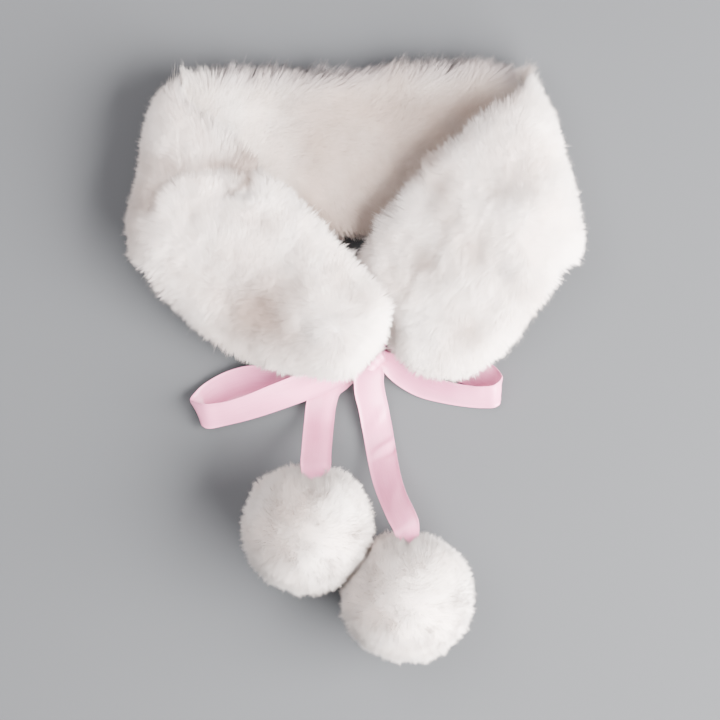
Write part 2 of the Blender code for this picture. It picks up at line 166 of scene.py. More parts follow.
# Places where the band's sides are trimmed closer. Columns: x, y, radius, depth, in millimetres.
TRIMS = (
    (-158, 86, 26, 3),
    (-154, 66, 12, 3),
    (156, 98, 26, 3.2),
    (154, 62, 14, 6),
    (-124, 184, 18, 2.4),
    (126, 182, 16, 4),
    (148, 142, 22, 4),
    (-132, 42, 20, 3),
    (24, 20, 9, 4),
)
# Places where the pile is longer, or shorter. Columns: x, y, radius, extra length, in millimetres.
LONG_PILE = (
    (-100, 170, 11, 5),
    (-88, 156, 16, 7),
    (-70, 136, 11, 4),
    (-120, 180, 10, 6),
    (94, 172, 12, 5),
    (78, 156, 12, 4),
    (112, 188, 8, 2),
    (0, 196, 14, 2.5),
    (50, 128, 12, 3),
    (26, 98, 14, 3.5),
    (12, 66, 13, 4),
    (16, 44, 10, 1.5),
    (24, 20, 9, -5),
    (140, 47, 8, 2.5),
    (142, 57, 7, 5),
    (153, 71, 7, -4),
    (-142, 52, 8, 2),
    (-155, 72, 12, -3),
)
# Where the inner panel's pile is longer, at the back's two upper corners, in the same columns.
INNER_LONG_PILE = (
    (-110, 182, 12, 7),
    (108, 184, 14, 9),
    (3, 190, 16, 2.5),
)
# Shade is painted on the low side of each edge, darker the lower the pile lies there.
# Edges of tufts: the pile on the left of the line, seen from its first point to its last, lies lower, and the
# tufts on the right hang over it. Columns: depth, how far the low part reaches, and the line's points, all in
# millimetres.
TUFT_EDGES = (
    (2.2, 16, ((-129, 96), (-124, 108), (-115, 117), (-96, 116), (-78, 117))),
    (3.2, 9, ((-81, 101), (-70, 104), (-62, 116), (-58, 131))),
    (2, 9, ((17, 58), (25, 84), (47, 113), (68, 136))),
    (1.2, 10, ((34, 28), (44, 52), (62, 76), (74, 98))),
)
# How far those lines waver, in millimetres, the width of a waver, and how far past their ends they fade out
WAVER = 3.8
WAVER_WIDE = 8
EDGE_FADE = 9
# Which way the pile is brushed, seen from above. Columns: x and y in millimetres, and the plan angle in
# degrees.
NAPE_NAP = (
    (-122, 178, 66),
    (-112, 188, 52),
    (-90, 196, 78),
    (-66, 198, 58),
    (-20, 198, 50),
    (30, 200, 46),
    (72, 204, 50),
    (106, 190, 44),
    (126, 160, 22),
)
LEFT_NAP = (
    (-142, 62, 205),
    (-146, 100, 185),
    (-136, 140, 160),
    (-130, 164, 140),
    (-112, 150, 132),
    (-104, 172, 92),
    (-93, 160, 78),
    (-78, 146, 62),
    (-66, 132, 54),
    (-108, 108, 118),
    (-88, 108, 92),
    (-66, 118, 100),
    (-100, 76, 104),
    (-72, 72, 92),
    (-46, 104, 62),
    (-24, 86, 48),
    (0, 62, 40),
    (-44, 62, 82),
    (-122, 40, 222),
    (-96, 16, 232),
    (-70, 2, 244),
    (-44, -8, 262),
    (-58, 26, 170),
    (-36, 20, 178),
    (-30, 38, 135),
    (-13, 42, 92),
    (6, 38, 40),
    (22, 34, 20),
    (12, 16, 350),
    (22, 18, 320),
    (6, -2, 305),
    (-13, -8, 270),
    (-30, 2, 225),
)
RIGHT_NAP = (
    (150, 110, 2),
    (154, 76, 345),
    (147, 63, 302),
    (136, 44, 318),
    (104, 4, 305),
    (74, -16, 285),
    (46, -12, 255),
    (30, 4, 225),
    (18, 34, 200),
    (12, 62, 178),
    (30, 90, 160),
    (54, 116, 146),
    (78, 148, 124),
    (92, 166, 96),
    (102, 178, 74),
    (124, 128, 20),
    (104, 130, 130),
    (94, 104, 180),
    (66, 88, 195),
    (68, 62, 212),
    (50, 34, 226),
    (90, 60, 222),
    (82, 26, 248),
    (134, 84, 350),
)
NECK_NAP = (
    (0, 82, 280),
    (-60, 82, 265),
    (60, 82, 275),
)
INNER_NAP = (
    (-106, 184, 116),
    (-98, 168, 58),
    (-84, 192, 76),
    (0, 195, 52),
    (80, 195, 52),
    (108, 182, 20),
    (-70, 150, 20),
    (-20, 150, 8),
    (50, 160, 30),
    (0, 105, 320),
)

# Ribbon routes in millimetres and degrees. Columns: x, y, z, the plan angle of the ribbon's width, how far
# the width leans up from the floor, and the width there.
RIBBONS = {
    "ribbon_loop_left": (
        (9, -0.5, 13.5, 108, 0, 9),
        (3, -3, 13.5, 109, 4, 12),
        (-5, -6.5, 13, 110, 8, 17),
        (-15.5, -11.5, 12.5, 112, 14, 20),
        (-30, -17.5, 12, 113, 20, 20),
        (-54.5, -27, 11, 111, 27, 20),
        (-74, -34, 10.5, 105, 36, 20),
        (-90, -38, 11, 101, 38, 20),
        (-100.5, -39, 11.5, 106, 28, 20),
        (-106, -37, 8.5, 115, 12, 20),
        (-102.5, -31, 4.8, 112, 6, 20),
        (-91, -22, 3.6, 102, 8, 20),
        (-74, -15.5, 3.4, 93, 10, 20),
        (-54.5, -15, 3.4, 90, 10, 20),
        (-30, -13.5, 3, 96, 6, 20),
        (-10, -8, 3.4, 104, 2, 18),
        (1, -3, 5.2, 108, 0, 12),
        (9, -0.5, 6.2, 108, 0, 9),
    ),
    "ribbon_loop_right": (
        (15, 2, 9.6, 60, 0, 9),
        (20, -1.5, 9, 60, 0, 12),
        (27, -6, 8, 58, 8, 17),
        (36, -12, 8, 60, 20, 20),
        (46, -18.5, 8.2, 66, 34, 20),
        (60, -23, 8.6, 78, 42, 20),
        (73.5, -25.5, 9.4, 87, 44, 20),
        (86, -26.5, 10.8, 91, 44, 20),
        (94, -25.5, 11.8, 91, 40, 20),
        (98, -22, 9.6, 88, 34, 20),
        (94, -17, 6.4, 78, 24, 20),
        (86, -12, 4.4, 69, 14, 20),
        (73, -7, 3.2, 66, 8, 20),
        (57, -2, 2.6, 68, 4, 20),
        (40, 1.5, 2.6, 70, 0, 20),
        (28, 3, 3.8, 68, 0, 15),
        (21, 3, 4.8, 66, 0, 11),
        (15, 2, 5.4, 62, 0, 9),
    ),
    "ribbon_tail_left": (
        (9, 0, 9.8, -60, 0, 9),
        (4, -4, 9.6, -60, 0, 11),
        (-4, -8.5, 8, -56, 0, 16),
        (-12.5, -13.5, 7.2, -44, 0, 20),
        (-19.5, -20.5, 6.6, -24, 0, 20),
        (-22.5, -30, 6.4, -9, 2, 20),
        (-24, -42, 11, -5, 4, 20),
        (-25, -53, 23, -4, 5, 20),
        (-25.7, -63, 37, -3, 4, 20),
        (-26, -71, 49, -2, 2, 20),
        (-26.4, -79, 55, 0, 0, 17),
        (-28, -89, 52.5, 4, 0, 12),
    ),
    "ribbon_tail_right": (
        (12, 2, 15, 4, 0, 9),
        (11, -4, 16.2, 5, 0, 12),
        (9.6, -10, 16, 6, 0, 19),
        (9.3, -18, 13.6, 8, 0, 20),
        (12.5, -34.5, 8, 11, -4, 20),
        (15.5, -50.5, 6.2, 11.5, 3, 20),
        (18.2, -66.5, 11, 12, 8, 20),
        (21.7, -82.5, 24, 16, 16, 20),
        (26, -94.5, 37, 23, 22, 20),
        (30.5, -104, 47, 26, 20, 20),
        (34, -112, 52, 22, 12, 18),
        (34.8, -121, 51, 12, 4, 15),
        (34.6, -130, 48.5, 4, 0, 12),
    ),
    "ribbon_tie_left": (
        (11.55, -1.2, 28, 50, 5, 15),
        (14.2, -3.4, 27.2, 50, 5, 13),
        (16, -4.4, 24.4, 50, 3, 11),
        (15.4, -3.2, 20.8, 52, 0, 10),
        (12.8, -0.6, 17.4, 54, 0, 9),
    ),
    "ribbon_tie_right": (
        (18.25, 15.1, 12.4, 120, -7, 14),
        (16.6, 12.2, 12.4, 118, -4, 12),
        (14.8, 7.6, 12.2, 112, -2, 10),
        (13, 2, 12, 108, 0, 9),
    ),
}
KNOT_CENTRE = (12.0, 1.0, 10.8)
KNOT_SIZE = (17.2, 14.0, 15.0)
# The pompoms, in millimetres and degrees. Columns: centre x, y, z, the plan angle at which the tail enters,
# how wide and how deep it parts the pile. The left one lies over the right one and dents it.
POMPOMS = {
    "pompom_left": (-31, -112.7, 45.7, 86, 14, 9),
    "pompom_right": (34.3, -158, 42.5, 90, 8, 4.5),
}
CONTACT_SHARE = 0.55
# How the pompoms' hairs sway, broadly and finely. Columns: waves to a unit, size, and the first seed.
POMPOM_SWAY = ((3.4, 0.28, 41), (11, 0.2, 44))
# Where the pompoms' pile lies in shade. Columns: x, y, radius, in millimetres, and how deep, from 0 to 1.
POMPOM_SHADE = (
    (-28, -86, 13, 0.4),
    (-36, -112, 22, 0.4),
    (30, -128, 13, 0.35),
    (10, -150, 13, 0.3),
)


def unit(vectors):
    return vectors / np.maximum(np.linalg.norm(vectors, axis=-1, keepdims=True), 1e-12)


def mix(a, b, share):
    return a + (b - a) * share


def ease(x):
    x = np.clip(x, 0.0, 1.0)
    return x * x * (3 - 2 * x)


# How many cells along each side the noise has before it repeats
LATTICE = 32


def noise(points, seed):
    """Smooth noise from -1 to 1 at each of some points in space, one lattice cell to a unit."""
    lattice = np.random.default_rng(seed).uniform(-1, 1, (LATTICE, LATTICE, LATTICE))
    cell = np.floor(points).astype(int)
    t = ease(points - cell)
    total = np.zeros(len(points))
    for corner in np.ndindex(2, 2, 2):
        weight = np.prod(np.where(corner, t, 1 - t), axis=1)
        i, j, k = ((cell + corner) % LATTICE).T
        total += weight * lattice[i, j, k]
    return total


def wander(points, apart, seed):
    """Smooth noise in each of the three directions."""
    return np.stack([noise(points + apart * k, seed + k) for k in range(3)], 1)


# The band's surface


class Curve:
    """A smooth curve through the rows of a table, by distance along the middle of its points."""

    def __init__(self, rows, middle):
        self.rows = np.array(rows, float)
        steps = np.linalg.norm(np.diff(middle, axis=0), axis=1)
        self.at = np.concatenate([[0.0], np.cumsum(steps)])
        self.slope = np.gradient(self.rows, self.at, axis=0)
        self.length = self.at[-1]

    def __call__(self, where):
        where = np.clip(np.asarray(where, float), 0.0, self.length)
        i = np.clip(np.searchsorted(self.at, where, side="right") - 1, 0, len(self.at) - 2)
        span = self.at[i + 1] - self.at[i]
        t = (where - self.at[i]) / span
        t, span = t[:, None], span[:, None]
        return (
            (2 * t**3 - 3 * t**2 + 1) * self.rows[i]
            + (t**3 - 2 * t**2 + t) * span * self.slope[i]
            + (3 * t**2 - 2 * t**3) * self.rows[i + 1]
            + (t**3 - t**2) * span * self.slope[i + 1]
        )


def fold_rows(side, turns):
    """Sections through one side fold: the band turns about an axis that leans with the crease."""
    back, front = np.array(FOLDS[side])
    radius = FOLD_RADIUS / MM
    rows = []
    for turn in turns:
        x, y, lean, low, up = back + (front - back) * turn / math.pi
        along = np.array([math.cos(math.radians(lean)), math.sin(math.radians(lean)), 0.0])
        outward = np.array([-along[1], along[0], 0.0]) * (1.0 if side == "left" else -1.0)
        height = BACK_HEIGHT / MM + radius * (1 - math.cos(turn))
        axis = np.array([x, y, height]) + outward * radius * math.sin(turn)
        rows.append((*(axis + along * low), *(axis + along * up), 0.0, 1.0))
    return rows


class Band:
    """The seam surface between the band's two panels: s runs along the strip, a across it from 0 to 1."""

    def __init__(self):
        turns = np.linspace(0.0, math.pi, FOLD_STEPS)
        left = fold_rows("left", turns[::-1])
        right = fold_rows("right", turns)
        rows = np.array([*LEFT_FRONT, *left, *BACK, *right, *RIGHT_FRONT])
        rows[:, :7] *= MM
        self.curve = Curve(rows, (rows[:, :3] + rows[:, 3:6]) / 2)
        self.length = self.curve.length
        self.back_start = self.curve.at[len(LEFT_FRONT) + len(left) - 1]
        self.back_end = self.curve.at[len(LEFT_FRONT) + len(left) + len(BACK)]

    def seam(self, s, a):
        rows = self.curve(s)
        points = rows[:, :3] + (rows[:, 3:6] - rows[:, :3]) * a[:, None]
        points[:, 2] += rows[:, 6] * 4 * a * (1 - a)
        return points

    def tangents(self, s, a):
        """Unit directions along the strip, across it towards the neck, and out of the outer panel."""
        step, side = 0.5 * MM, 0.01
        along = self.seam(np.minimum(s + step, self.length), a) - self.seam(np.maximum(s - step, 0), a)
        across = self.seam(s, a + side) - self.seam(s, a - side)
        normal = -unit(np.cross(along, across))
        return unit(along), unit(across), normal

    def width(self, s):
        rows = self.curve(s)
        return np.linalg.norm(rows[:, 3:6] - rows[:, :3], axis=1)

    def nape(self, s):
        """1 on the back's stretch, where the upper rim's pile is longest, and 0 on the fronts."""
        reach = 30 * MM
        return ease((s - self.back_start + reach) / reach) * ease((self.back_end + reach - s) / reach)


band = Band()


def beside(points, line):
    """How far each point lies to the left of a line in plan, the way there, and how far it is abreast."""
    place = points[:, :2] / MM
    nearest = np.full(len(points), np.inf)
    aside, way, abreast = np.zeros(len(points)), np.zeros((len(points), 2)), np.zeros(len(points))
    for a, b in zip(np.array(line[:-1]), np.array(line[1:])):
        long = np.hypot(*(b - a))
        along = (b - a) / long
        left = np.array([-along[1], along[0]])
        gone = (place - a) @ along
        gap = place - a - np.clip(gone, 0, long)[:, None] * along
        far = np.hypot(*gap.T)
        way += left / (far[:, None] + 2) ** 4
        closer = far < nearest
        nearest[closer] = far[closer]
        aside[closer] = (far * np.where(gap @ left < 0, -1.0, 1.0))[closer]
        past = np.maximum(-gone, gone - long)
        abreast[closer] = ease(1 - past / EDGE_FADE)[closer]
    return aside + WAVER * noise(points / MM / WAVER_WIDE, 4), unit(way), abreast


def spots(points, table):
    """The sum of soft round spots in plan."""
    x, y = points[:, 0] / MM, points[:, 1] / MM
    total = np.zeros(len(points))
    for cx, cy, radius, size in table:
        total += size * np.exp(-((x - cx) ** 2 + (y - cy) ** 2) / radius**2)
    return total * MM


def sink(points):
    """How much lower the pile lies in the hollows and beside the tufts' edges."""
    depth = spots(points, HOLLOWS) / MM
    for deep, reach, line in TUFT_EDGES:
        aside, _, abreast = beside(points, line)
        low = np.exp(-np.maximum(aside - 2, 0) / reach) * ease(aside / 5 + 0.5)
        crest = np.exp(-((aside + 5) / 5) ** 2)
        depth += deep * abreast * (low - 0.3 * crest)
    return depth * MM


def tufts(points):
    """Soft uneven pile: broad lumps and finer ones."""
    p = points / MM
    return sum(noise(p / wide, seed) * high for wide, high, seed in LUMPS) * MM


def rounded(x):
    """A quarter circle's rise from 0 to 1."""
    return np.sqrt(1 - (1 - x) ** 2)


def body_span(s):
    """How far in from the lower rim the undercoat starts, how wide it is, and the band's width there."""
    width = band.width(s)
    to_end = np.clip(np.minimum(s, band.length - s) / CORNER_RADIUS, 0, 1)
    corner = CORNER_RADIUS * (1 - rounded(to_end))
    # On the narrow tips the insets take no more than a share of the width
    lower = np.minimum(RIM_INSET + corner, width * 0.3)
    upper = np.minimum(mix(RIM_INSET, NAPE_INSET, band.nape(s)) + corner, width * 0.4)
    return lower, width - lower - upper, width


def pile_surface(outside, s, v):
    """Points on the undercoat of one panel, from its lower rim at v = 0 to its upper rim at v = 1."""
    lower, inner, width = body_span(s)
    a = (lower + v * inner) / width
    seam = band.seam(s, a)
    normal = band.tangents(s, a)[2]
    rim = np.clip(np.minimum(v, 1 - v) * inner / np.minimum(RIM_ROUND - RIM_INSET, inner / 2), 0, 1)
    to_end = np.minimum(s, band.length - s) - RIM_INSET
    closing = rounded(np.clip(to_end / END_CLOSE, 0, 1))
    full = np.clip(band.curve(s)[:, 7], 0, 1)
    pile = (OUTER_PILE if outside else INNER_PILE) * full
    share = rounded(rim) * closing
    uneven = tufts(seam) * (1.0 if outside else INNER_LUMPS)
    if outside:
        # Hollows and tuft edges only where the surface faces up
        uneven -= sink(seam) * ease((normal[:, 2] - 0.2) / 0.4)
    side = 1.0 if outside else -1.0
    steep = ease(1 - np.abs(normal[:, 2]) / 0.6)
    trim = spots(seam + normal * (side * pile)[:, None], TRIMS)
    height = np.maximum((pile - TIP_DEPTH - SIDE_DEPTH * steep - trim + uneven) * share, LEAST_PILE)
    points = seam + normal * (side * (SEAM_GAP / 2 + height))[:, None]
    points[:, 2] = np.maximum(points[:, 2], FLOOR_Z)
    return points


def surface_frame(outside, s, v):
    """Points of the undercoat, their outward normals and their share of its area."""
    ds, dv = 0.6 * MM, 0.006
    here = pile_surface(outside, s, v)
    along = pile_surface(outside, np.minimum(s + ds, band.length), v) - pile_surface(outside, s - ds, v)
    across = pile_surface(outside, s, np.minimum(v + dv, 1)) - pile_surface(outside, s, np.maximum(v - dv, 0))
    normal = np.cross(across, along) * (1.0 if outside else -1.0)
    return here, unit(normal), np.linalg.norm(normal, axis=1)


# Meshes


def new_piece(name, vertices, faces, normals=None):
    """A mesh object from arrays of points and of faces with equally many corners."""
    mesh = bpy.data.meshes.new(name)
    count, corners = faces.shape
    mesh.vertices.add(len(vertices))
    mesh.vertices.foreach_set("co", np.ascontiguousarray(vertices, np.float32).ravel())
    mesh.loops.add(count * corners)
    mesh.loops.foreach_set("vertex_index", np.ascontiguousarray(faces, np.int32).ravel())
    mesh.polygons.add(count)
    mesh.polygons.foreach_set("loop_start", np.arange(0, count * corners, corners, dtype=np.int32))
    mesh.update(calc_edges=True)
    mesh.polygons.foreach_set("use_smooth", np.full(count, True))
    if normals is not None:
        mesh.normals_split_custom_set_from_vertices(normals)
    piece = bpy.data.objects.new(name, mesh)
    bpy.context.scene.collection.objects.link(piece)
    return piece


def point_value(piece, name, values):
    piece.data.attributes.new(name, "FLOAT", "POINT").data.foreach_set("value", values.astype(np.float32))


def dress(piece, finish):
    """Gives a piece its finish and the body that it rides on."""
    piece.data.materials.append(finish)
    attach(piece, "root")


def closed_sheet(name, near, far):
    """A closed piece between two grids of points that face each other."""
    rows, columns = near.shape[:2]
    shift = rows * columns
    at = np.arange(shift).reshape(rows, columns)
    top = at + shift

    def quads(grid):
        return np.stack([grid[:-1, :-1], grid[:-1, 1:], grid[1:, 1:], grid[1:, :-1]], -1).reshape(-1, 4)

    ring = np.concatenate([at[0, :-1], at[:-1, -1], at[-1, :0:-1], at[:0:-1, 0]])
    after = np.roll(ring, -1)
    sides = np.stack([ring, ring + shift, after + shift, after], -1)
    faces = np.concatenate([quads(at), quads(top)[:, ::-1], sides])
    points = np.concatenate([near.reshape(-1, 3), far.reshape(-1, 3)])
    piece = new_piece(name, points, faces)
    a, b, c, d = (points[faces[:, k]] for k in range(4))
    volume = (a * (np.cross(b, c) + np.cross(c, d))).sum()
    if volume < 0:
        piece.data.flip_normals()
    return piece


# Where a strand lies in its cell of the map
STRAND_MAP = np.array([(0.05, 0.05), (0.95, 0.05), (0.50, 0.95)])


def strands(name, roots, tips, normals, width, fringe_shade, deep, finish, seed):
    """Fine hairs, a narrow blade each, shaded like the surface that they grow on."""
    count = len(roots)
    rng = np.random.default_rng(seed)
    along = unit(tips - roots)
    flat = unit(np.cross(along, normals) + 1e-6)
    twist = rng.normal(0, 0.7, (count, 1))
    across = flat * np.cos(twist) + np.cross(flat, along) * np.sin(twist)
    # Each blade faces away from the surface, and a little upwards
    facing = (np.cross(across, along) * (normals + [0, 0, 0.7])).sum(1, keepdims=True)
    half = across * np.where(facing < 0, -0.5, 0.5) * width * rng.uniform(0.7, 1.3, (count, 1))
    points = np.stack([roots - half, roots + half, tips], 1).reshape(-1, 3)
    shaded = unit(normals + rng.normal(0, 0.08, (count, 3)))
    piece = new_piece(name, points, np.arange(count * 3).reshape(-1, 3), np.repeat(shaded, 3, axis=0))
    tone = 0.5 + 0.5 * noise(roots / MM / 2.2, seed) + rng.normal(0, 0.15, count)
    point_value(piece, "tip", np.tile([0.0, 0.0, 1.0], count))
    for key, values in (("tone", tone), ("fringe_shade", fringe_shade), ("deep", deep)):
        point_value(piece, key, np.repeat(values, 3))
    side = math.ceil(math.sqrt(count))
    cell = np.stack([np.arange(count) % side, np.arange(count) // side], -1)
    placed = (cell[:, None, :] + STRAND_MAP[None]) / side
    layer = piece.data.uv_layers.new(name="OFBake", do_init=False)
    layer.uv.foreach_set("vector", placed.astype(np.float32).ravel())
    dress(piece, finish)
    return piece


# Materials


def filled(node, settings):
    """Sets some of a node's inputs."""
    for key, value in settings.items():
        node.inputs[key].default_value = value
    return node


def principled(name, settings):
    made = bpy.data.materials.new(name)
    made.use_nodes = True
    tree = made.node_tree
    return made, tree, filled(tree.nodes["Principled BSDF"], settings)


def ramp(tree, factor, stops):
    node = tree.nodes.new("ShaderNodeValToRGB")
    for at, _ in stops[1:-1]:
        node.color_ramp.elements.new(at)
    for element, (at, colour) in zip(node.color_ramp.elements, stops):
        element.position = at
        element.color = (*colour, 1.0)
    tree.links.new(factor, node.inputs["Fac"])
    return node.outputs["Color"]


def multiplied(tree, a, b):
    """Two colours multiplied."""
    node = tree.nodes.new("ShaderNodeMix")
    node.data_type = "RGBA"
    node.blend_type = "MULTIPLY"
    sockets = {s.identifier: s for s in node.inputs}
    sockets["Factor_Float"].default_value = 1.0
    tree.links.new(a, sockets["A_Color"])
    tree.links.new(b, sockets["B_Color"])
    return next(s for s in node.outputs if s.identifier == "Result_Color")


def pattern(tree, scale, detail=2.0, stretch=(1.0, 1.0, 1.0)):
    """Noise over the piece's own coordinates."""
    place = tree.nodes.new("ShaderNodeTexCoord")
    mapping = filled(tree.nodes.new("ShaderNodeMapping"), {"Scale": stretch})
    node = filled(tree.nodes.new("ShaderNodeTexNoise"), {"Scale": scale, "Detail": detail})
    tree.links.new(place.outputs["Object"], mapping.inputs["Vector"])
    tree.links.new(mapping.outputs["Vector"], node.inputs["Vector"])
    return node.outputs["Fac"]


def attribute(tree, name):
    node = tree.nodes.new("ShaderNodeAttribute")
    node.attribute_name = name
    return node.outputs["Fac"]


def by_value(tree, name, low, high):
    """A colour between two, by one of the values that the piece's points carry."""
    return ramp(tree, attribute(tree, name), [(0.0, low), (1.0, high)])


def bumped(tree, shader, height, strength, distance):
    bump = filled(tree.nodes.new("ShaderNodeBump"), {"Strength": strength, "Distance": distance})
    tree.links.new(height, bump.inputs["Height"])
    tree.links.new(bump.outputs["Normal"], shader.inputs["Normal"])


WHITE = (1.0, 1.0, 1.0)
# Painted shade: how the wool is darkened, and warmed, deep between the tufts and wherever else shade is
# painted
PAINTED_SHADE_TINT = (0.43, 0.365, 0.335)
# The greyest single hair, and the cool grey of the painted shade along the rims and on the nape's fringe
DULL = (0.93, 0.925, 0.92)
FRINGE_SHADE_TINT = (0.60, 0.585, 0.66)


def hair_material(name, root, tip, warm):
    """Pile: painted shade at the root, a pale tip, warmer patches, and painted shade at the rims and where it
    lies deep.
    """
    gloss = {"Roughness": 0.8, "Sheen Weight": 0.3, "Sheen Roughness": 0.6, "Specular IOR Level": 0.2}
    made, tree, shader = principled(name, gloss)
    # Painted shade at the root, fading to the pale tip halfway along
    colour = ramp(tree, attribute(tree, "tip"), [(0.0, root), (0.5, tip), (1.0, tip)])
    patches = ramp(tree, pattern(tree, 28.0), [(0.35, WHITE), (0.7, warm)])
    each = by_value(tree, "tone", DULL, WHITE)
    fringe_shaded = by_value(tree, "fringe_shade", WHITE, FRINGE_SHADE_TINT)
    # Painted shade, by the points' deep value
    shaded = by_value(tree, "deep", WHITE, PAINTED_SHADE_TINT)
    for layer in (patches, each, fringe_shaded, shaded):
        colour = multiplied(tree, colour, layer)
    tree.links.new(colour, shader.inputs["Base Color"])
    return made


def undercoat_material(name, colour, dark):
    """The dense wool under the tips: finely mottled and fibrous, with painted shade where it lies deep."""
    gloss = {"Roughness": 0.95, "Sheen Weight": 0.4, "Specular IOR Level": 0.1}
    made, tree, shader = principled(name, gloss)
    fibres = pattern(tree, 900.0, 3.0, (1.0, 0.4, 1.0))
    mottle = ramp(tree, fibres, [(0.3, dark), (0.6, colour)])
    # Painted shade, by the points' deep value
    shaded = by_value(tree, "deep", WHITE, PAINTED_SHADE_TINT)
    tree.links.new(multiplied(tree, mottle, shaded), shader.inputs["Base Color"])
    bumped(tree, shader, fibres, 0.5, 0.8 * MM)
    return made


# Painted shade: how the satin darkens inside its loops and near the knot
SATIN_PAINTED_SHADE_TINT = (0.62, 0.50, 0.58)


def satin_material(name, colour, deep):
    """Pale pink satin: a soft directional gloss over fine lengthwise threads, with painted shade."""
    gloss = {"Roughness": 0.3, "Sheen Weight": 0.25, "Specular IOR Level": 0.6, "Anisotropic": 0.5}
    made, tree, shader = principled(name, gloss)
    place = tree.nodes.new("ShaderNodeCombineXYZ")
    tree.links.new(attribute(tree, "along"), place.inputs["X"])
    tree.links.new(attribute(tree, "across"), place.inputs["Y"])
    threads = filled(tree.nodes.new("ShaderNodeTexNoise"), {"Scale": 1.0, "Detail": 3.0})
    stretched = filled(tree.nodes.new("ShaderNodeMapping"), {"Scale": (60.0, 2200.0, 1.0)})
    tree.links.new(place.outputs[0], stretched.inputs["Vector"])
    tree.links.new(stretched.outputs[0], threads.inputs["Vector"])
    weave = ramp(tree, threads.outputs["Fac"], [(0.3, deep), (0.65, colour)])
    # Painted shade, by the points' deep value
    shaded = by_value(tree, "deep", WHITE, SATIN_PAINTED_SHADE_TINT)
    tree.links.new(multiplied(tree, weave, shaded), shader.inputs["Base Color"])
    bumped(tree, shader, threads.outputs["Fac"], 0.25, 0.1 * MM)
    return made


white_hair = hair_material("white_hair", (0.92, 0.835, 0.795), (0.985, 0.917, 0.885), (1.0, 0.95, 0.92))
inner_hair = hair_material("inner_hair", (0.91, 0.83, 0.78), (0.975, 0.915, 0.875), (1.0, 0.95, 0.91))
white_coat = undercoat_material("white_undercoat", (0.94, 0.895, 0.865), (0.87, 0.815, 0.785))
inner_coat = undercoat_material("inner_undercoat", (0.90, 0.86, 0.82), (0.82, 0.77, 0.72))
satin = satin_material("pink_satin", (0.83, 0.29, 0.48), (0.77, 0.235, 0.42))


# The fur band


def undercoat(name, outside, finish, nodes):
    """The closed body of one panel's pile, from the seam to the wool under the tips."""
    step, columns = (2.6 * MM, 40) if outside else (3.4 * MM, 30)
    s = np.linspace(RIM_INSET, band.length - RIM_INSET, round(band.length / step))
    v = (1 - np.cos(np.linspace(0, math.pi, columns))) / 2
    ss, vv = (x.ravel() for x in np.meshgrid(s, v, indexing="ij"))
    far = pile_surface(outside, ss, vv)
    lower, inner, width = body_span(ss)
    a = (lower + vv * inner) / width
    side = 1.0 if outside else -1.0
    near = band.seam(ss, a) + band.tangents(ss, a)[2] * side * SEAM_GAP / 2
    shape = (len(s), len(v), 3)
    piece = closed_sheet(name, near.reshape(shape), far.reshape(shape))
    # Painted shade on the undercoat
    point_value(piece, "deep", np.tile(painted_shade(outside, far), 2))
    dress(piece, finish)
    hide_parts(*nodes)
    return piece


def across_panel(w):
    """Shares of a panel's width, from even steps, that crowd towards both rims."""
    return (1 - np.cos(w * math.pi)) / 2


def scatter(outside, first, last, count, keep, seed):
    """Places spread over a panel's undercoat, as dense in each spot as keep says, from 0 to 1."""
    rows, columns = round((last - first) / GRID_STEP), GRID_COLUMNS
    s = first + (np.arange(rows) + 0.5) / rows * (last - first)
    w = (np.arange(columns) + 0.5) / columns
    ss, ww = (x.ravel() for x in np.meshgrid(s, w, indexing="ij"))
    vv = across_panel(ww)
    points, normals, area = surface_frame(outside, ss, vv)
    weight = area * np.sin(ww * math.pi) * keep(points, normals, ss, vv)
    total = np.cumsum(weight)
    rng = np.random.default_rng(seed)
    drawn = (np.arange(count) + rng.random(count)) / count * total[-1]
    cell = np.minimum(np.searchsorted(total, drawn), len(total) - 1)
    s = ss[cell] + (rng.random(count) - 0.5) / rows * (last - first)
    w = ww[cell] + (rng.random(count) - 0.5) / columns
    v = across_panel(w)
    points, normals, _ = surface_frame(outside, s, v)
    return points, normals, s, v


def clumped(roots, ends, share, spacing, seed):
    """Draws each strand's tip towards that of the guide strand nearest to its root."""
    rng = np.random.default_rng(seed)
    guides = rng.choice(len(roots), max(4, round(len(roots) / spacing)), replace=False)
    tree = kdtree.KDTree(len(guides))
    for i, g in enumerate(guides):
        tree.insert(roots[g], i)
    tree.balance()
    nearest = guides[[tree.find(root)[1] for root in roots]]
    target = roots[nearest] + ends[nearest]
    return mix(ends, target - roots, share)


def combed(points, table):
    """The plan direction of the nap, between the places in a table."""
    lie = np.zeros_like(points)
    for x, y, angle in table:
        away = (points[:, 0] / MM - x) ** 2 + (points[:, 1] / MM - y) ** 2
        weight = 1 / (away + 16) ** 2
        lie[:, 0] += weight * math.cos(math.radians(angle))
        lie[:, 1] += weight * math.sin(math.radians(angle))
    return unit(lie)


# The painted shade on the inner back, in millimetres: it grows from an x to the right, grows a little from
# a y down, and halves from a y up, at the nape, each over a distance
SHADE_X, SHADE_X_OVER = -92, 64
SHADE_Y, SHADE_Y_OVER = 110, 30
NAPE_Y, NAPE_Y_OVER = 162, 30


def painted_shade(outside, points):
    """How much shade is painted at each point, from 0 to 1: deep between the tufts, or inside the folded
    band.
    """
    if outside:
        return np.clip(sink(points) / (4 * MM), 0, 1)
    x, y = points[:, 0] / MM, points[:, 1] / MM
    inside = 0.3 * ease((SHADE_Y - y) / SHADE_Y_OVER) + 0.92 * ease((x - SHADE_X) / SHADE_X_OVER)
    return np.clip(inside, 0, 1) * mix(1, 0.5, ease((y - NAPE_Y) / NAPE_Y_OVER))


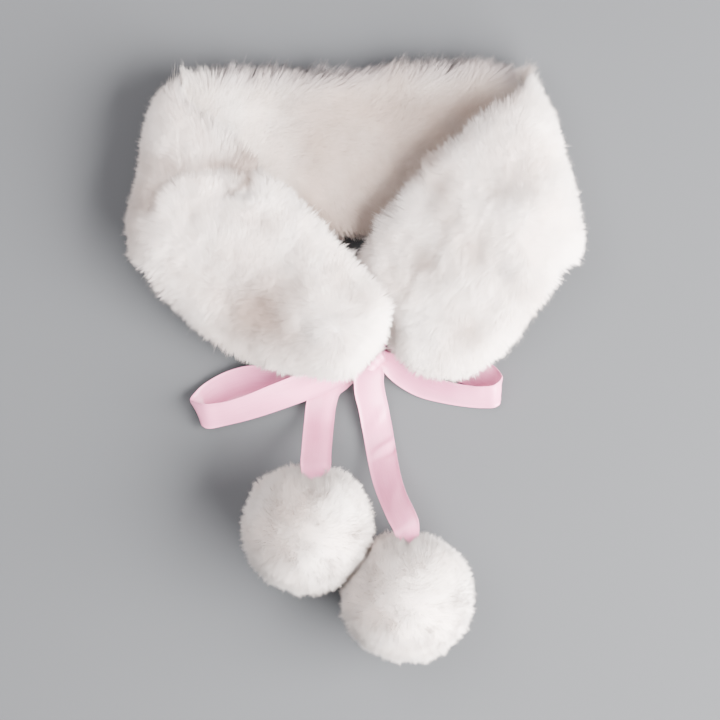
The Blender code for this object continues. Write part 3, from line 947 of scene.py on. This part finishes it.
def band_fur(name, outside, first, last, count, nap, length, keep, finish, slot_name, seed):
    """The visible tips of one stretch of a panel's pile."""
    roots, normals, s, v = scatter(outside, first, last, count, keep, seed)
    rng = np.random.default_rng(seed + 50)
    lie = combed(roots, nap)
    reach = length(roots, s, v)
    if outside:
        # Hairs at the edge of a tuft hang over it, and are longer
        for deep, _, line in TUFT_EDGES:
            aside, way, abreast = beside(roots, line)
            hang = (np.exp(-((aside + 1.5) / 5) ** 2) * abreast * min(deep / 3, 1.0))[:, None]
            lie[:, :2] = mix(lie[:, :2], way, hang)
            reach = reach * (1 + 0.35 * hang[:, 0])
    p = roots / MM
    lie = lie + wander(p / 15, 20, 60) * SWAY + rng.normal(0, STRAY, (count, 3))
    # No hair points into the surface
    inward = np.minimum((lie * normals).sum(1, keepdims=True), 0)
    lie = unit(lie - normals * inward)
    edge = ease(1 - normals[:, 2] / 0.6)
    nape = nape_middle(s)
    flat = np.maximum(nape * ease((v - 0.8) / 0.15), ease(spots(roots, LONG_PILE) / (8 * MM)) * outside)
    lean = mix(LEAN - LEAN_LESS * edge, LEAN_LONG, flat) + LEAN_PATCHES * noise(p / 9, 66)
    lean = lean + rng.normal(0, LEAN_SPREAD, count)
    lean = np.radians(lean)[:, None]
    fringe = np.maximum(edge, ease((0.1 - np.minimum(v, 1 - v)) / 0.08))
    rare = np.clip(noise(p / 2.1, 68) - 0.3, 0, 0.5) * edge * (1 - nape)
    # Locks stand out at the rims and on steep sides, where their ends show
    lock = noise(p / 1.6, 67) * 0.24 * fringe + rare
    uneven = 0.92 - 0.2 * edge * (1 - nape) + lock + rng.uniform(-0.2, 0.2, count)
    uneven *= 1 - 0.08 * edge * (1 - flat)
    ends = unit(normals * np.cos(lean) + lie * np.sin(lean)) * (reach * uneven)[:, None]
    ends = clumped(roots, ends, 0.12, TUFT_HAIRS, seed)
    together = mix(mix(0.16, 0.46, fringe), 0.6, nape * fringe)[:, None]
    ends = clumped(roots, ends, together, LOCK_HAIRS, seed + 1)
    guard = rng.random(count) < GUARD_SHARE
    ends[guard] *= rng.uniform(1.05, 1.3, (guard.sum(), 1))
    ends[guard] += rng.normal(0, 0.6 * MM, (guard.sum(), 3))
    tips = roots + ends
    tips[:, 2] = np.maximum(tips[:, 2], FLOOR_Z)
    rim = np.minimum(v, 1 - v)
    # Painted shade, cool grey, along both rims and on the nape's upper fringe
    fringe_shade = 0.2 * ease(1 - rim / 0.03) + 0.5 * nape * ease((v - 0.9) / 0.08)
    sunk = roots - normals * 0.7 * MM
    # Painted shade on the hairs
    deep = painted_shade(outside, roots)
    return strands(name, sunk, tips, normals, HAIR_WIDTH, fringe_shade, deep, finish, seed + 2)


def all_over(points, normals, s, v):
    """Everywhere but underneath."""
    return np.where(normals[:, 2] > -0.6, 1.0, 0.0)


def near_rims(points, normals, s, v):
    """Along both rims."""
    return np.where((normals[:, 2] > -0.9) & (np.minimum(v, 1 - v) < RIM_SHARE), 1.0, 0.0)


def rims_and_ends(points, normals, s, v):
    """Along both rims, at the strip's ends, and densest at the back's upper corners."""
    end = np.minimum(s, band.length - s) < END_REACH
    to_fold = np.minimum(np.abs(s - band.back_start), np.abs(s - band.back_end))
    corner = (to_fold < CORNER_REACH) & (v > 0.6)
    return np.where((np.minimum(v, 1 - v) < RIM_SHARE) | end, 1.0, 0.0) + np.where(corner, 2.0, 0.0)


def in_the_open(points, normals, s, v):
    """The part of the inner back that the two fronts leave in sight, and thinner under them."""
    left, _, _ = beside(points, [row[3:5] for row in LEFT_FRONT[::-1]])
    right, _, _ = beside(points, [row[3:5] for row in RIGHT_FRONT])
    return np.where((left > -16) & (right < 16), 1.0, UNDER_FRONTS)


def nape_middle(s):
    """1 along the middle of the nape, and 0 at its two corners."""
    left, right, reach = 4 * MM, -14 * MM, 26 * MM
    return ease((s - band.back_start - left) / reach) * ease((band.back_end - right - s) / reach)


def outer_length(points, s, v):
    """How long the outer panel's hairs are: longer at the rims, and longest along the nape."""
    rims = 1.6 * ease((v - 0.88) / 0.1) + 0.8 * ease((0.1 - v) / 0.1)
    return spots(points, LONG_PILE) + (8.4 + rims + 7.0 * nape_middle(s) * ease((v - 0.8) / 0.2)) * MM


def inner_length(points, s, v):
    """The same for the inner panel."""
    upper, lower = ease((v - 0.86) / 0.14), ease(1 - v / 0.1)
    corners = spots(points, INNER_LONG_PILE) * upper
    return corners + (5.8 + upper * mix(4.5, 10.5, nape_middle(s)) + 4.0 * lower) * MM


def build_band():
    stretches = ("left_front", "back", "right_front")
    outer_nodes = [f"outer_fur_{stretch}" for stretch in stretches]
    inner_nodes = [f"inner_fur_{stretch}" for stretch in stretches]
    outer = undercoat("undercoat_outer", True, white_coat, outer_nodes)
    inner = undercoat("undercoat_inner", False, inner_coat, inner_nodes)
    low, a, b, high = RIM_INSET, band.back_start, band.back_end, band.length - RIM_INSET
    # Each row gives the stretch's name, where it lies, its hairs, their nap, where they grow, and the seed
    outer_fur = [
        band_fur("pile_" + name, True, *span, count, nap, outer_length, keep, white_hair, "white_fur", seed)
        for name, span, count, nap, keep, seed in (
            ("outer_left", (low, a), 195000, LEFT_NAP + NAPE_NAP, all_over, 11),
            ("outer_right", (b, high), 185000, RIGHT_NAP + NAPE_NAP, all_over, 12),
            ("outer_back", (a, b), 50000, NAPE_NAP + NECK_NAP, near_rims, 13),
        )
    ]
    inner_fur = [
        band_fur("pile_" + name, False, *span, count, nap, inner_length, keep, inner_hair, "inner_fur", seed)
        for name, span, count, nap, keep, seed in (
            ("inner_back", (a, b), 140000, INNER_NAP + NECK_NAP, in_the_open, 14),
            ("inner_left", (low, a), 28000, INNER_NAP + NECK_NAP, rims_and_ends, 15),
            ("inner_right", (b, high), 28000, INNER_NAP + NECK_NAP, rims_and_ends, 16),
        )
    ]


# The pompoms


def directions(count):
    """Evenly spread directions on a sphere."""
    k = np.arange(count) + 0.5
    up = 1 - 2 * k / count
    turn = k * math.pi * (3 - math.sqrt(5))
    flat = np.sqrt(1 - up**2)
    return np.stack([flat * np.cos(turn), flat * np.sin(turn), up], 1)


def pompom_centre(name):
    return np.array(POMPOMS[name][:3]) * MM


def pompom_reach(name, out, radius):
    """How far a pompom reaches in each direction: lumpy, parted by its ribbon, flat where it rests."""
    *_, entry, wide, deep = POMPOMS[name]
    centre = pompom_centre(name)
    other = next(pompom_centre(key) for key in POMPOMS if key != name)
    seed = 21 if name == "pompom_left" else 22
    lumps = noise(out * 2.6 + 9, seed) * 1.6 + noise(out * 6.5 + 5, seed + 5) * 0.8
    plan = np.degrees(np.arctan2(out[:, 1], out[:, 0])) - entry
    rise = np.degrees(np.arcsin(np.clip(out[:, 2], -1, 1))) - 14
    parted = deep * np.exp(-((plan / wide) ** 2) - (rise / 30) ** 2)
    reach = radius + (lumps - parted) * MM
    down = np.maximum(-out[:, 2], 1e-6)
    reach = np.where(out[:, 2] < 0, np.minimum(reach, (centre[2] - FLOOR_Z - 0.6 * MM) / down), reach)
    # The left ball is pressed flat where they meet, and the right one is hollowed round it
    apart = other - centre
    dent = np.linalg.norm(apart) * CONTACT_SHARE
    toward = out @ apart
    if name == "pompom_left":
        return np.where(toward > 0, np.minimum(reach, dent / np.maximum(out @ unit(apart), 1e-6)), reach)
    inside = toward**2 - apart @ apart + (dent + 0.8 * MM) ** 2
    meets = (inside > 0) & (toward > 0)
    return np.where(meets, np.minimum(reach, toward - np.sqrt(np.maximum(inside, 0))), reach)


def ball(name, point_at, rings, spokes):
    """A closed round piece whose points are given by their directions from its middle."""
    polar = np.linspace(0.03, math.pi - 0.03, rings)
    turn = np.linspace(0, 2 * math.pi, spokes, endpoint=False)
    pp, tt = (x.ravel() for x in np.meshgrid(polar, turn, indexing="ij"))
    out = np.stack([np.sin(pp) * np.cos(tt), np.sin(pp) * np.sin(tt), np.cos(pp)], 1)
    points = point_at(out)
    at = np.arange(rings * spokes).reshape(rings, spokes)
    after = np.roll(at, -1, axis=1)
    quads = np.stack([at[:-1], at[1:], after[1:], after[:-1]], -1).reshape(-1, 4)
    top, bottom = len(points), len(points) + 1
    points = np.concatenate([points, [points[:spokes].mean(0), points[-spokes:].mean(0)]])
    faces = np.concatenate([
        quads[:, [0, 1, 2]],
        quads[:, [0, 2, 3]],
        np.stack([np.full(spokes, top), at[0], after[0]], -1),
        np.stack([np.full(spokes, bottom), after[-1], at[-1]], -1),
    ])
    return new_piece(name, points, faces), np.concatenate([out, [[0, 0, 1], [0, 0, -1]]])


def pompom(name, count):
    centre = pompom_centre(name)

    def wool(out):
        return centre + out * pompom_reach(name, out, POMPOM_BODY)[:, None]

    body, _ = ball(name + "_body", wool, 48, 84)
    dress(body, white_coat)
    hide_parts(name)

    rng = np.random.default_rng(31 if name == "pompom_left" else 32)
    out = unit(directions(count) + rng.normal(0, 0.008, (count, 3)))
    out = out[out[:, 2] > -0.85]
    number = len(out)
    roots = centre + out * (pompom_reach(name, out, POMPOM_BODY) - 1.0 * MM)[:, None]
    full = pompom_reach(name, out, POMPOM_RADIUS + 0.4 * MM)
    sway = sum(wander(out * waves, 7, first) * size for waves, size, first in POMPOM_SWAY)
    sway += rng.normal(0, 0.16, (number, 3))
    sway -= out * (sway * out).sum(1, keepdims=True)
    # At the sides the locks stand out more, and the hairs lean less
    side = ease((0.6 - out[:, 2]) / 0.4)
    lock = noise(out * 26 + 3, 49) * mix(0.7, 3.3, side) * MM
    uneven = lock + rng.normal(-1.2 * MM, 0.7 * MM, number)
    tips = centre + out * (full + uneven)[:, None] + sway * mix(11, 8, side)[:, None] * MM
    ends = clumped(roots, tips - roots, mix(0.16, 0.55, side)[:, None], POMPOM_LOCK_HAIRS, 51)
    tips = roots + ends
    tips[:, 2] = np.maximum(tips[:, 2], FLOOR_Z)
    plain = np.zeros(number)
    # Painted shade on the pompoms' pile
    deep = spots(roots, POMPOM_SHADE) / MM
    strands(name + "_pile", roots, tips, out, HAIR_WIDTH, plain, deep, white_hair, 52)


# The ribbon

# Small creases in the satin, in millimetres and degrees. Columns: x and y of the crease's middle, the plan
# angle it runs at, half its length, half its width, and how far it stands up.
CREASES = {
    "ribbon_tail_right": (
        (21.5, -58, 35, 9, 2.2, 1.3),
        (24, -63, 28, 8, 1.8, -1.2),
        (16, -40, 60, 12, 3, 0.6),
        (27, -88, 75, 14, 3.5, 0.7),
    ),
    "ribbon_tail_left": (
        (-21, -38, 80, 12, 3, 0.5),
        (-29, -50, 95, 12, 3.5, -0.5),
    ),
    "ribbon_loop_left": (
        (-30, -17, 20, 16, 2.6, 0.7),
        (-62, -32, 25, 14, 3, 0.5),
        (-12, -9, 30, 10, 2, 0.8),
    ),
    "ribbon_loop_right": (
        (36, -11, -35, 12, 2.4, 0.7),
        (62, -25, -12, 14, 2.6, 0.5),
    ),
}


# Where the satin lies in shade. Columns: x, y, radius, in millimetres, and how deep, from 0 to 1.
SATIN_SHADE = (
    (-86, -18, 8, 0.45),
    (-74, -13, 9, 0.55),
    (-60, -11, 9, 0.45),
    (36, -9, 9, 0.5),
    (50, -15, 9, 0.75),
    (64, -19, 9, 0.75),
    (78, -17, 7, 0.5),
    (17, 6, 7, 0.6),
    (-26, -50, 12, 0.2),
    (-25, -70, 9, 0.3),
)


def crease_lift(name, points):
    lift = np.zeros(len(points))
    for x, y, angle, long, wide, high in CREASES.get(name, ()):
        turn = math.radians(angle)
        dx, dy = points[:, 0] / MM - x, points[:, 1] / MM - y
        along = dx * math.cos(turn) + dy * math.sin(turn)
        aside = dy * math.cos(turn) - dx * math.sin(turn)
        lift += high * np.exp(-((along / long) ** 2) - (aside / wide) ** 2)
    return lift * MM


def ribbon(name):
    """A length of satin along its route, gathered towards the knot, with a firm edge on both sides."""
    table = np.array(RIBBONS[name], float)
    table[:, :3] *= MM
    table[:, 5] *= MM
    curve = Curve(table, table[:, :3])
    where = np.linspace(0, curve.length, round(curve.length / RIBBON_STEP) + 1)
    rows = curve(where)
    centre, width = rows[:, :3], rows[:, 5]
    plan, lean = np.radians(rows[:, 3]), np.radians(rows[:, 4])
    across = np.stack([np.cos(plan) * np.cos(lean), np.sin(plan) * np.cos(lean), np.sin(lean)], 1)
    across_at = (1 - np.cos(np.linspace(0, math.pi, RIBBON_COLUMNS))) - 1
    grid = centre[:, None] + across[:, None] * (across_at[None, :, None] * width[:, None, None] / 2)
    along = unit(np.gradient(centre, axis=0))
    normal = unit(np.cross(along, across))[:, None]
    gather = np.clip((19.5 * MM - width) / (10 * MM), 0, 1)[:, None]
    pleats = np.cos(across_at * math.pi * 2.5)[None] * gather * PLEAT_HEIGHT
    pleats = pleats - across_at[None] ** 2 * (1 - gather) * RIBBON_BOW
    flat = grid.reshape(-1, 3)
    lift = crease_lift(name, flat).reshape(grid.shape[:2]) + pleats
    lift = lift * np.clip(1.25 - np.abs(across_at) ** 6, 0, 1)[None]
    upward = np.sign(normal[..., 2] + 1e-9)
    grid = grid + normal * (lift * upward)[..., None]
    firm = RIBBON_THICKNESS / 2 * (1 + 0.35 * (np.abs(across_at) > 0.93))[None, :, None]
    piece = closed_sheet(name + "_satin", grid - normal * firm, grid + normal * firm)
    dress(piece, satin)
    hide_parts(name)
    along_at = np.repeat(where, RIBBON_COLUMNS)
    across_by = (across_at[None] * width[:, None] / 2).ravel()
    point_value(piece, "along", np.tile(along_at, 2))
    point_value(piece, "across", np.tile(across_by, 2))
    # Painted shade on the satin, in the spots of SATIN_SHADE
    point_value(piece, "deep", np.tile(spots(flat, SATIN_SHADE) / MM, 2))


def knot():
    """The bow's knot: soft wraps of ribbon round a gathered middle."""
    wrap_axis = unit(np.array([0.85, 0.45, 0.25]))

    def wrapped(out):
        lean = out @ wrap_axis
        # Broad wraps, and finer folds across them
        folds = 1 + 0.045 * np.cos(lean * 10.5) + 0.02 * np.cos(lean * 23 + out[:, 2] * 3)
        return np.array(KNOT_CENTRE) * MM + out * np.array(KNOT_SIZE) * MM / 2 * folds[:, None]

    piece, out = ball("knot_satin", wrapped, 26, 48)
    dress(piece, satin)
    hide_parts("knot")
    point_value(piece, "along", np.arctan2(out[:, 1], out[:, 0]) / 40)
    point_value(piece, "across", out @ wrap_axis / 60)
    # Painted shade, even over the whole knot
    point_value(piece, "deep", np.full(len(out), 0.4))


# The scene


# The floor's colour and half its width, the light all round and its strength, and the lamps. Columns: name,
# place, power, width and colour.
FLOOR_COLOUR = (0.089, 0.094, 0.101, 1.0)
FLOOR_HALF = 6.0
AROUND = (1.0, 0.935, 0.92, 1.0)
AROUND_STRENGTH = 0.7
LAMPS = (
    ("key", (1.32, -0.62, 0.84), 440.0, 2.0, (1.0, 0.962, 0.935)),
    ("fill", (-0.6, 0.4, 1.5), 38.0, 1.2, (1.0, 0.95, 0.95)),
)


def stage():
    """The floor, the light all round, and the lamps, which all face the scarf."""
    corners = np.array([(-1, -1, 0), (1, -1, 0), (1, 1, 0), (-1, 1, 0)], float) * FLOOR_HALF
    floor = new_piece("floor", corners, np.array([[0, 1, 2, 3]]))
    paint = {"Base Color": FLOOR_COLOUR, "Roughness": 0.9, "Specular IOR Level": 0.1}
    floor.data.materials.append(principled("floor_paint", paint)[0])

    world = bpy.data.worlds.new("studio")
    world.use_nodes = True
    filled(world.node_tree.nodes["Background"], {"Color": AROUND, "Strength": AROUND_STRENGTH})
    bpy.context.scene.world = world

    for name, place, power, wide, tint in LAMPS:
        light = bpy.data.lights.new(name, "AREA")
        light.energy = power
        light.size = wide
        light.color = tint
        lamp = bpy.data.objects.new(name, light)
        lamp.location = place
        lamp.rotation_euler = (-Vector(place)).to_track_quat("-Z", "Y").to_euler()
        bpy.context.scene.collection.objects.link(lamp)


# The photo's scale, its middle, the pixel that shows the part's origin, the camera's height, and the height
# at which the photo's scale holds
PIXEL = 2 / 3 * MM
PHOTO_CENTRE = (360, 360)
ORIGIN_PIXEL = (355, 358)
CAMERA_HEIGHT = 3.0
FRAMED_AT = 28 * MM


def camera():
    """Straight above, framed as in the photo."""
    data = bpy.data.cameras.new("camera")
    data.sensor_fit = "HORIZONTAL"
    data.angle = 2 * math.atan(PHOTO_CENTRE[0] * PIXEL / (CAMERA_HEIGHT - FRAMED_AT))
    data.clip_end = 20.0
    made = bpy.data.objects.new("camera", data)
    x = (PHOTO_CENTRE[0] - ORIGIN_PIXEL[0]) * PIXEL
    y = (ORIGIN_PIXEL[1] - PHOTO_CENTRE[1]) * PIXEL
    made.location = (x, y, CAMERA_HEIGHT)
    bpy.context.scene.collection.objects.link(made)
    bpy.context.scene.camera = made


camera()
build_band()
for pompom_name in POMPOMS:
    pompom(pompom_name, POMPOM_HAIRS)
for ribbon_name in RIBBONS:
    ribbon(ribbon_name)
knot()
stage()
